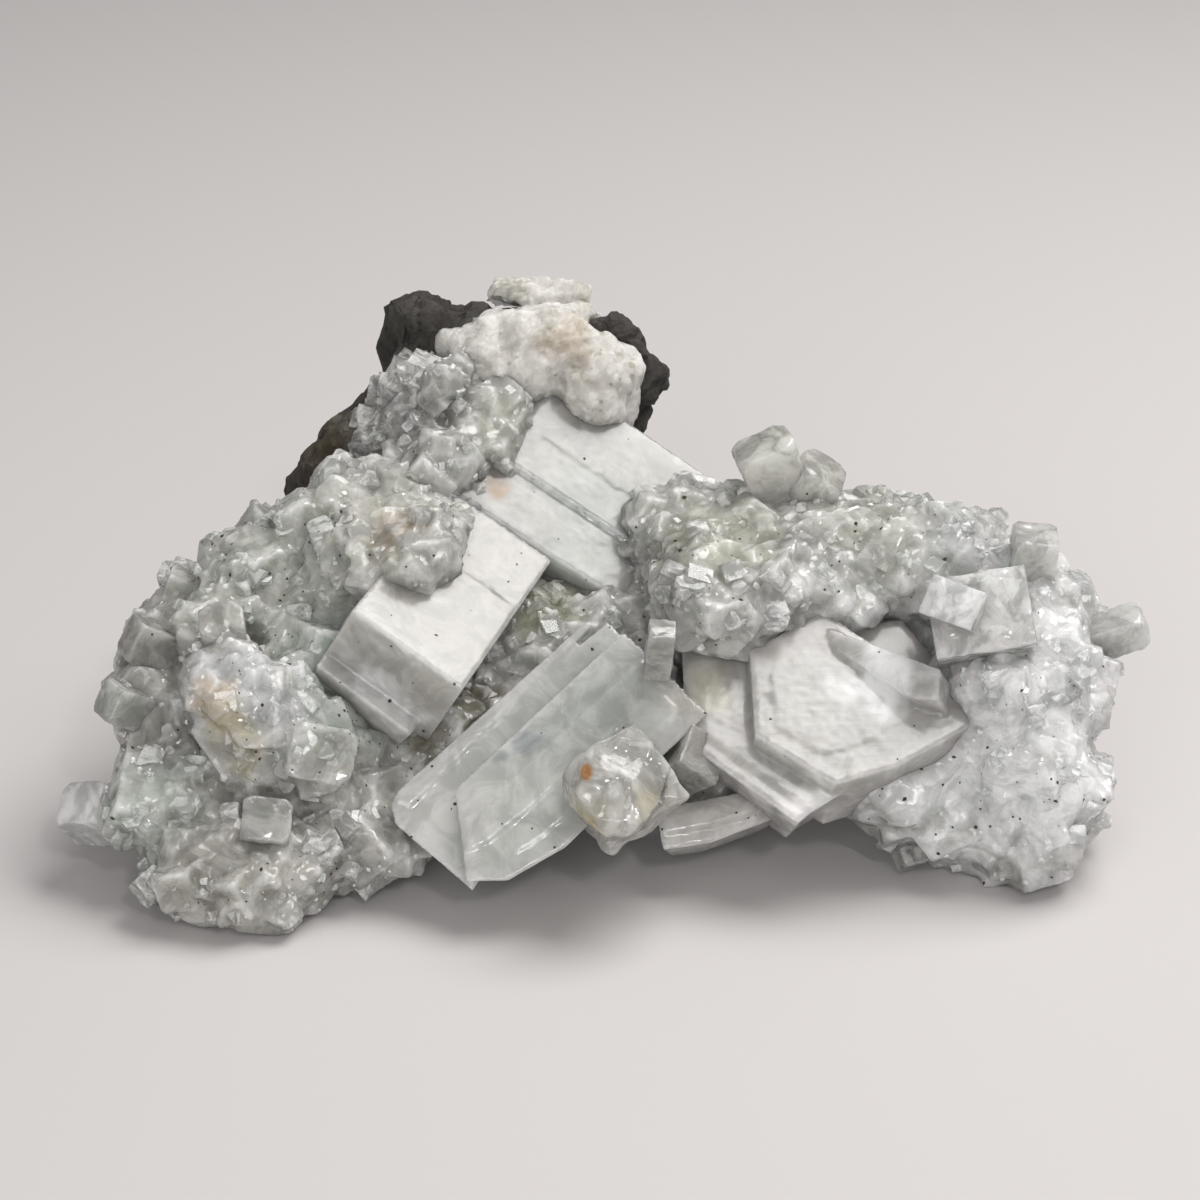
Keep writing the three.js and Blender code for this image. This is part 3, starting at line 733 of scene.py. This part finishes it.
# the rounded masses that the druse covers, as in the solids
masses = [
    {
        "name": "leftMass",
        "lumps": [
            {"at": (-40, 1, 20.6), "radii": (5.5, 6.3, 3.9)},
            {"at": (-33.5, 4, 22.6), "radii": (6.5, 7.3, 4.7)},
            {"at": (-27.5, 6.5, 26), "radii": (5.9, 6.3, 5.3)},
            {"at": (-23, 7, 30.8), "radii": (5.6, 6, 4)},
            {"at": (-20, 1.6, 28.4), "radii": (7.4, 7.6, 5.2)},
            {"at": (-33.5, -11, 19.2), "radii": (6.9, 5.3, 3.9), "tilt": (0, 20, 0)},
            {"at": (-41.5, -4, 14), "radii": (5.3, 7.9, 5.5)},
            {"at": (-40.5, -11, 9), "radii": (6.5, 6.5, 4.9)},
            {"at": (-34.5, -18.4, 4.2), "radii": (8.3, 6.1, 5.9)},
            {"at": (-30, -7, 12.6), "radii": (9.3, 9.3, 6.9)},
            {"at": (-27.5, 0, 19.6), "radii": (5.9, 6.9, 5.3)},
            {"at": (-19, -3, 11), "radii": (8.9, 7.9, 6.3)},
            {"at": (-23, -12, 6.4), "radii": (8.9, 6.3, 4.9)},
            {"at": (-27, -5, 19), "radii": (4.3, 4.3, 4.3)},
        ],
    },
    {
        "name": "middleMass",
        "lumps": [
            {"at": (-11.5, 16, 35.8), "radii": (4.8, 4.6, 4.8)},
            {"at": (-14.4, 16.4, 36.5), "radii": (4.4, 3.2, 6.2)},
            {"at": (-18.6, 11.8, 32.6), "radii": (4, 3.2, 4.4)},
            {"at": (-15.5, 10, 31.5), "radii": (5, 4, 5)},
            {"at": (0, 4, 16), "radii": (22, 15, 6), "tilt": (33, 0, 0)},
            {"at": (10, -5, 10), "radii": (9, 6, 4.4)},
        ],
    },
    {
        "name": "rightMass",
        "lumps": [
            {"at": (13, 8.5, 26.6), "radii": (10, 6.6, 5.4)},
            {"at": (12, -1, 25.2), "radii": (8, 7.6, 5)},
            {"at": (21, 3, 24.4), "radii": (7.6, 7.6, 5.6)},
            {"at": (27, 6, 26), "radii": (7.4, 7.6, 5.4)},
            {"at": (34.5, 5, 24.2), "radii": (7.6, 7.6, 5.8)},
            {"at": (41, 2, 20.4), "radii": (6.2, 7.6, 5.8)},
            {"at": (24, 0, 14), "radii": (15, 11, 5.4), "tilt": (30, 0, 0)},
            {"at": (39.5, -4, 15), "radii": (9.2, 9.4, 9)},
            {"at": (38.8, -8.2, 6.8), "radii": (10, 8, 8.6)},
            {"at": (28, -10, 9), "radii": (7, 6.2, 4.6)},
        ],
    },
]


# the druse: each layer has its number of tries, sizes in millimetres, the share of a crystal that is sunk in
# the skin, and how far neighbours lean their own way; grains grow where the noise is above their "least"
druse = {
    "core": {"voxel": 0.8, "rounds": 20, "waves": [(1.6, 150), (0.7, 380)]},
    "voxel": 0.32,
    "large": {"count": 280, "sizes": (3.0, 6.5), "sink": 0.44, "grove": 1.6},
    "medium": {"count": 800, "sizes": (1.4, 3.0), "sink": 0.36, "grove": 1.5},
    "Crystals": {"count": 380, "sizes": (0.8, 2.4), "sink": 0.4, "grove": 1.1},
    "Grains": {"count": 1000, "sizes": (0.3, 0.7), "sink": 0.25, "grove": 1.1, "least": 0.1},
    "rock": {"count": 16000, "sizes": (0.8, 3.0), "sink": 0.36, "grove": 1.1},
    "lift": 0.42,   # how far the small crystals are paled
}


# small crystals: a few shapes modelled once and copied by the thousand
def smallShape(size, cut=0.0, point=0.0):
    deselectAll()
    bpy.ops.mesh.primitive_cube_add(size=1, scale=size)
    piece = bpy.context.object
    bpy.ops.object.transform_apply(location=False, rotation=False, scale=True)
    bpy.ops.object.mode_set(mode="EDIT")
    if point:
        bm = bmesh.from_edit_mesh(piece.data)
        top = max(bm.faces, key=lambda face: face.calc_center_median().z)
        bpy.ops.mesh.select_all(action="DESELECT")
        top.select = True
        bmesh.update_edit_mesh(piece.data)
        bpy.ops.mesh.extrude_region_move(TRANSFORM_OT_translate={"value": (0, 0, 0.4 * size[2])})
        bpy.ops.transform.resize(value=(1 - point, 1 - point, 1), center_override=(0, 0, 0))
    if cut:
        bpy.ops.mesh.select_all(action="SELECT")
        bpy.ops.mesh.bevel(offset=cut, segments=1, affect="VERTICES")
    bpy.ops.mesh.select_all(action="SELECT")
    bpy.ops.mesh.quads_convert_to_tris()
    bpy.ops.object.mode_set(mode="OBJECT")
    corners = np.array([vertex.co[:] for vertex in piece.data.vertices])
    faces = np.array(sorted(face.vertices[:] for face in piece.data.polygons))   # the same order every run
    bpy.data.objects.remove(piece)
    return corners, faces


smallShapes = [
    smallShape((1.0, 0.9, 1.1), cut=0.2),
    smallShape((0.9, 0.8, 1.4), cut=0.12),
    smallShape((1.1, 1.0, 0.7), cut=0.25),
    smallShape((0.9, 0.9, 0.8), point=0.65),
    smallShape((1.0, 0.8, 0.7), point=0.4),
    smallShape((1.0, 1.0, 1.0)),
]


def surfaceSpots(piece, count):
    # random places over a piece's skin, each with its normal
    mesh = piece.data
    mesh.calc_loop_triangles()
    corners = np.array([vertex.co[:] for vertex in mesh.vertices])
    triangles = np.array([triangle.vertices[:] for triangle in mesh.loop_triangles])
    a, b, c = (corners[triangles[:, i]] for i in range(3))
    cross = np.cross(b - a, c - a)
    area = np.linalg.norm(cross, axis=1)
    normals = cross / np.maximum(area, 1e-12)[:, None]
    picker = np.random.default_rng(dice.randrange(10**6))
    chosen = picker.choice(len(triangles), count, p=area / area.sum())
    u, v = picker.random(count), picker.random(count)
    flip = u + v > 1
    u[flip], v[flip] = 1 - u[flip], 1 - v[flip]
    spots = a[chosen] + (b - a)[chosen] * u[:, None] + (c - a)[chosen] * v[:, None]
    return spots, normals[chosen]


blockBoxes = []
for spec in allPlates:
    inverse = crystalFrame(spec["at"], spec["up"], spec["side"]).inverted()
    xs = [x for x, y in spec["outline"]]
    ys = [y for x, y in spec["outline"]]
    blockBoxes.append((inverse, (min(xs), min(ys), -spec["thick"]), (max(xs), max(ys), 0.4)))


skyTest = {"above": 1.5, "reach": 7, "least": 2}


def openSky(tree, spot, normal):
    # false where something close stands in front of the skin
    start = spot + normal * skyTest["above"] * mm
    ways = (normal, normal + Vector((0, -0.6, 0.6)), normal + Vector((0.6, 0, 0.5)))
    free = sum(tree.ray_cast(start, way.normalized(), skyTest["reach"] * mm)[0] is None for way in ways)
    return free >= skyTest["least"]


def onBlock(spot, margin):
    for inverse, low, high in blockBoxes:
        p = inverse @ spot / mm
        if all(lo + margin < value < hi - margin for lo, value, hi in zip(low, p, high)):
            return True
    return False


def crystalCarpet(name, piece, layer, finish, keep=None, seed=0.0, around=None):
    # crystals over a piece's skin, off the table, the underside and the faces of the large crystals
    spots, normals = surfaceSpots(piece, layer["count"])
    least, most = layer["sizes"]
    corners, faces = [], []
    total = 0
    for spot, normal in zip(spots, normals):
        spot, normal = Vector(spot), Vector(normal)
        size = (least + (most - least) * dice.random() ** 2.0) * mm   # the small ones are the many
        margin = 1.2 + 1.6 * noise.noise(spot * 400)
        if spot.z < 0.8 * mm or normal.z < -0.85 or onBlock(spot, margin) or (keep and not keep(spot)):
            continue
        if around and not openSky(around, spot, normal):
            continue
        field = noise.noise_vector(spot * 110 + Vector((seed, 0, 0)))   # neighbours share a way of growing
        lean = Vector((dice.gauss(0, 1), dice.gauss(0, 1), dice.gauss(0, 1)))
        up = (normal + field * layer["grove"] + lean * 0.22).normalized()
        spin = Matrix.Rotation(field.x * 3 + dice.gauss(0, 0.3), 3, "Z")
        turn = up.to_track_quat("Z", "Y").to_matrix() @ spin
        shape, shapeFaces = dice.choice(smallShapes)
        stretch = np.array([size * dice.uniform(0.75, 1.3) for axis in range(3)])
        centre = np.array(spot - normal * size * layer["sink"])
        corners.append((shape * stretch) @ np.array(turn).T + centre)
        faces.append(shapeFaces + total)
        total += len(shape)
    corners = np.concatenate(corners)
    faces = np.concatenate(faces)
    corners[:, 2] = np.maximum(corners[:, 2], 0.0)
    mesh = bpy.data.meshes.new(name)
    mesh.from_pydata(corners.tolist(), [], faces.tolist())
    mesh.validate()
    carpet = bpy.data.objects.new(name, mesh)
    bpy.context.scene.collection.objects.link(carpet)
    mesh.materials.append(crystalFinish[finish])
    print(name, len(faces), "triangles")
    return carpet


def makeMass(spec, seed):
    balls = []
    for lump in spec["lumps"]:
        deselectAll()
        bpy.ops.mesh.primitive_ico_sphere_add(subdivisions=4, radius=1)
        ball = bpy.context.object
        turn = Euler([math.radians(angle) for angle in lump.get("tilt", (0, 0, 0))]).to_matrix().to_4x4()
        radii = Matrix.Diagonal((*[r * mm for r in lump["radii"]], 1))
        ball.data.transform(Matrix.Translation(place(lump["at"])) @ turn @ radii)
        balls.append(ball)
    body = joinPieces(balls, spec["name"])
    core = druse["core"]
    remesh(body, core["voxel"])
    soften(body, 0.5, core["rounds"])
    roughen(body, core["waves"])
    large = crystalCarpet("large", body, druse["large"], "druse", seed=seed)
    medium = crystalCarpet("medium", body, druse["medium"], "druse", seed=seed + 2)
    body = joinPieces([body, large, medium], spec["name"])
    remesh(body, druse["voxel"])
    soften(body, 0.5, 1)
    body.data.materials.clear()
    body.data.materials.append(crystalFinish["druse"])
    makeActive(body)
    bpy.ops.object.shade_smooth()
    print(spec["name"], len(body.data.polygons), "faces")
    return body


def treeOf(pieces):
    corners, faces = [], []
    total = 0
    for piece in pieces:
        corners += [vertex.co[:] for vertex in piece.data.vertices]
        faces += [[total + i for i in face.vertices] for face in piece.data.polygons]
        total = len(corners)
    return BVHTree.FromPolygons(corners, faces)


def whereGrainsGrow(spot):
    return noise.noise(spot * 160) > druse["Grains"]["least"]


massPieces = [makeMass(spec, 10.0 * index) for index, spec in enumerate(masses)]
around = treeOf(largePieces)
drusePieces = []
for index, mass in enumerate(massPieces):
    for layer, keep, seed in (("Crystals", None, 50.0), ("Grains", whereGrainsGrow, 70.0)):
        drusePieces.append(crystalCarpet(
            mass.name + layer, mass, druse[layer], "small", keep, seed=seed + index, around=around,
        ))


# flakes on the crystals: dark ones of the rock, and near-white ones that are painted glints, crowded round
# the patches listed below
paintedGlintPatches = [
    {"at": (19.1, -2.9, 27.3), "reach": 5.5},
    {"at": (0, -24, 17.5), "reach": 4.0},
    {"at": (1, 4.5, 24), "reach": 5.5},
    {"at": (-5.4, 2.2, 21.9), "reach": 4.0},
    {"at": (29, 5, 30.3), "reach": 5.0},
    {"at": (41, -12, 17), "reach": 5.0},
    {"at": (-33, -16, 19), "reach": 5.0},
]


def darkCrowd(spot):
    return 0.35 + noise.noise(spot * 90) + 0.5 * noise.noise(spot * 300)


# how thickly the painted glints crowd: near a patch, and in scattered spots
def paintedGlintCrowd(spot):
    near = max(1 - (spot - place(patch["at"])).length / (patch["reach"] * mm) for patch in paintedGlintPatches)
    return max(0, near) + 0.25 * (noise.noise(spot * 130) > 0.15)


darkFlakes = {
    "name": "Flakes", "finish": basaltFinish, "tone": (0.05, 0.04, 0.028), "sizes": (0.08, 0.24),
    "crowd": darkCrowd,
    "counts": {
        "leftMass": 1100, "middleMass": 700, "rightMass": 1000,
        "leftBlock": 140, "farBlock": 120, "beam": 70, "rightBlock": 40, "lowSlab": 50,
    },
}
# near-white flakes that stand in for glints: painted glints
paintedGlintFlakes = {
    "name": "Glitter", "finish": crystalFinish["small"], "tone": crystalColours["glass"],
    "sizes": (0.1, 0.34), "crowd": paintedGlintCrowd,
    "counts": {"leftMass": 2200, "middleMass": 1500, "rightMass": 2600},
}
rockFlakes = {**darkFlakes, "sizes": (0.1, 0.3), "counts": {"rockCrystals": 500}}


def flakesOn(piece, kind):
    spots, normals = surfaceSpots(piece, kind["counts"][piece.name])
    least, most = kind["sizes"]
    corners, faces = [], []
    flake = np.array([(1, 0, 0), (0, 1, 0), (-1, 0, 0), (0, -1, 0), (0, 0, 1), (0, 0, -1)], dtype=float)
    sides = np.array([(0, 1, 4), (1, 2, 4), (2, 3, 4), (3, 0, 4), (1, 0, 5), (2, 1, 5), (3, 2, 5), (0, 3, 5)])
    for spot, normal in zip(spots, normals):
        spot, normal = Vector(spot), Vector(normal)
        if dice.random() > kind["crowd"](spot) or normal.z < -0.5 or spot.z < 0.5 * mm:
            continue
        size = (least + (most - least) * dice.random() ** 2.5) * mm
        turn = normal.to_track_quat("Z", "Y").to_matrix() @ Matrix.Rotation(dice.uniform(0, 6.3), 3, "Z")
        shape = flake * np.array((size * dice.uniform(0.7, 1.8), size, size * 0.6))
        corners.append(shape @ np.array(turn).T + np.array(spot))
        faces.append(sides + 6 * (len(corners) - 1))
    mesh = bpy.data.meshes.new(piece.name + kind["name"])
    mesh.from_pydata(np.concatenate(corners).tolist(), [], np.concatenate(faces).tolist())
    flakes = bpy.data.objects.new(piece.name + kind["name"], mesh)
    bpy.context.scene.collection.objects.link(flakes)
    mesh.materials.append(kind["finish"])
    paintTone(flakes, kind["tone"], [])
    return flakes


flakePieces = [flakesOn(piece, darkFlakes) for piece in [*massPieces, *largePieces]]
flakePieces += [flakesOn(piece, paintedGlintFlakes) for piece in massPieces]
print("flakes laid on:", len(flakePieces))


# rock and crust: the solids' own shapes, broken up
def nodeCopy(node, name):
    source = next(o for o in bpy.data.objects if o.name == node)
    piece = source.copy()
    piece.data = source.data.copy()
    piece.name = name
    piece.data.materials.clear()
    bpy.context.scene.collection.objects.link(piece)
    makeActive(piece)
    bpy.ops.object.mode_set(mode="EDIT")
    bpy.ops.mesh.select_all(action="SELECT")
    bpy.ops.mesh.remove_doubles(threshold=0.001 * mm)
    bpy.ops.object.mode_set(mode="OBJECT")
    return piece


rockZones = [
    {"at": (-22.5, 15, 35), "reach": 4.5, "colour": (0.4, 0.39, 0.36), "amount": 0.9},
    {"at": (-18, 13, 38), "reach": 7.5, "colour": (0.36, 0.35, 0.33), "amount": 0.9},
    {"at": (-20, 9, 34), "reach": 7.0, "colour": (0.34, 0.33, 0.31), "amount": 0.9},
    {"at": (-28, 17, 33), "reach": 5.0, "colour": (0.06, 0.045, 0.025), "amount": 0.9},
]
crustZones = [
    {"at": (-3, 17, 44.5), "reach": 3.6, "colour": (0.42, 0.34, 0.24), "amount": 0.6},
    # painted shade: a darker patch in the hollow between the rock's ridge and the crust
    {"at": (-9, 25, 46), "reach": 3.0, "colour": (0.25, 0.24, 0.2), "amount": 0.6},
    {"at": (-14, 18, 42), "reach": 5.0, "colour": (0.46, 0.44, 0.42), "amount": 0.6},
]


rockLook = {
    "node": "basalt_matrix", "name": "basaltRock", "finish": basaltFinish, "voxel": 0.5,
    "waves": [(1.4, 140), (0.8, 380), (0.5, 900)], "facetSize": 2.4, "facetTilt": 0.9,
    "tone": (0.045, 0.04, 0.034), "zones": rockZones,
}
crustLook = {
    "node": "white_crust", "name": "whiteCrust", "finish": crustFinish, "voxel": 0.3,
    "waves": [(0.8, 260), (0.35, 620), (0.15, 1500)], "facetSize": 1.2, "facetTilt": 0.35,
    "tone": (0.62, 0.6, 0.565), "zones": crustZones,
}


def breakUp(look):
    piece = nodeCopy(look["node"], look["name"])
    remesh(piece, look["voxel"])
    roughen(piece, look["waves"])
    facet(piece, look["facetSize"], look["facetTilt"])
    piece.data.materials.append(look["finish"])
    paintTone(piece, look["tone"], look["zones"])
    return piece


rock = breakUp(rockLook)
crust = breakUp(crustLook)

# the front of the rock, between the crust and the left wing, where small crystals cover it
coveredRock = [
    {"at": (-18.5, 15.5, 38.5), "reach": 5.0},
    {"at": (-17, 18, 41), "reach": 3.6},
    {"at": (-20, 12, 34.5), "reach": 4.6},
    {"at": (-22.6, 15, 35.8), "reach": 3.0},
]


def onRockFace(spot):
    gaps = [(spot - place(patch["at"])).length / (patch["reach"] * mm) for patch in coveredRock]
    return min(gaps) < 1 + 0.4 * noise.noise(spot * 300)


rockCrystals = crystalCarpet("rockCrystals", rock, druse["rock"], "small", onRockFace, seed=90.0)
flakePieces.append(flakesOn(rockCrystals, rockFlakes))

# colours: how strongly each kind of piece shows its pale worn edges
wornEdges = {"large": 0.5, "mass": 0.55, "single": 0.35}
paintTone(rockCrystals, (0.74, 0.735, 0.71), [])
for piece, spec in zip(largePieces, largeCrystals):
    paintTone(piece, spec["tone"], blockZones, wornEdges["large"])
for piece in massPieces:
    paintTone(piece, crystalColours["pale"], zones, wornEdges["mass"])
for piece in drusePieces:
    paintTone(piece, crystalColours["pale"], zones, lift=druse["lift"])
for piece, spec in zip(singlePieces, singles):
    paintTone(piece, spec["tone"], stains, wornEdges["single"])
print("rock and crust broken up, colours laid on")


# the pieces ride on the one body and stand for the solids
for piece in [*largePieces, *singlePieces, *massPieces, *drusePieces, rockCrystals, *flakePieces]:
    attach(piece, "root")
    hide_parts("apophyllite_crystals")
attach(rock, "root")
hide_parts("basalt_matrix")
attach(crust, "root")
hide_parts("white_crust")


# studio: a pale sweep, one large soft light from the upper right, a small one that glints and a fill
studio = {"floor": (0.585, 0.56, 0.555), "floorRough": 0.9, "sky": (1.0, 0.993, 0.985), "skyPower": 0.31}
lights = [
    {"name": "key", "at": (0.22, 0.07, 0.5), "aim": (0.01, 0, 0.02), "size": 0.4, "power": 2.85,
     "colour": (1.0, 0.99, 0.975)},
    {"name": "glint", "at": (0.15, -0.55, 0.45), "aim": (0, 0, 0.02), "size": 0.06, "power": 0.6},
    {"name": "fill", "at": (-0.12, -0.6, 0.22), "aim": (0, 0, 0.02), "size": 0.4, "power": 1.4},
]
lightPaths = {
    "max_bounces": 8, "transmission_bounces": 6, "glossy_bounces": 2, "diffuse_bounces": 2,
    "sample_clamp_indirect": 4,
}


def addStudio():
    deselectAll()
    bpy.ops.mesh.primitive_plane_add(size=6)
    floor = bpy.context.object
    floor.name = "floor"
    bpy.ops.object.mode_set(mode="EDIT")
    bm = bmesh.from_edit_mesh(floor.data)
    bpy.ops.mesh.select_all(action="DESELECT")
    for edge in bm.edges:
        edge.select = all(vertex.co.y > 1 for vertex in edge.verts)
    bmesh.update_edit_mesh(floor.data)
    bpy.ops.mesh.extrude_region_move(TRANSFORM_OT_translate={"value": (0, 0.8, 3)})
    bpy.ops.object.mode_set(mode="OBJECT")
    material = bpy.data.materials.new("floor")
    material.use_nodes = True
    shader = material.node_tree.nodes["Principled BSDF"]
    shader.inputs["Base Color"].default_value = (*studio["floor"], 1)
    shader.inputs["Roughness"].default_value = studio["floorRough"]
    floor.data.materials.append(material)


def addLight(spec):
    data = bpy.data.lights.new(spec["name"], "AREA")
    data.shape = "DISK"
    data.size = spec["size"]
    data.energy = spec["power"]
    data.color = spec.get("colour", (1, 1, 1))
    light = bpy.data.objects.new(spec["name"], data)
    bpy.context.scene.collection.objects.link(light)
    light.location = spec["at"]
    light.rotation_mode = "QUATERNION"
    light.rotation_quaternion = (Vector(spec["aim"]) - Vector(spec["at"])).to_track_quat("-Z", "Y")


def addSky():
    world = bpy.data.worlds.new("sky")
    bpy.context.scene.world = world
    world.use_nodes = True
    back = world.node_tree.nodes["Background"]
    back.inputs["Color"].default_value = (*studio["sky"], 1)
    back.inputs["Strength"].default_value = studio["skyPower"]


addStudio()
addSky()
for spec in lights:
    addLight(spec)
bpy.context.scene.view_settings.view_transform = "Standard"
for setting, value in lightPaths.items():
    setattr(bpy.context.scene.cycles, setting, value)
print("studio lit")
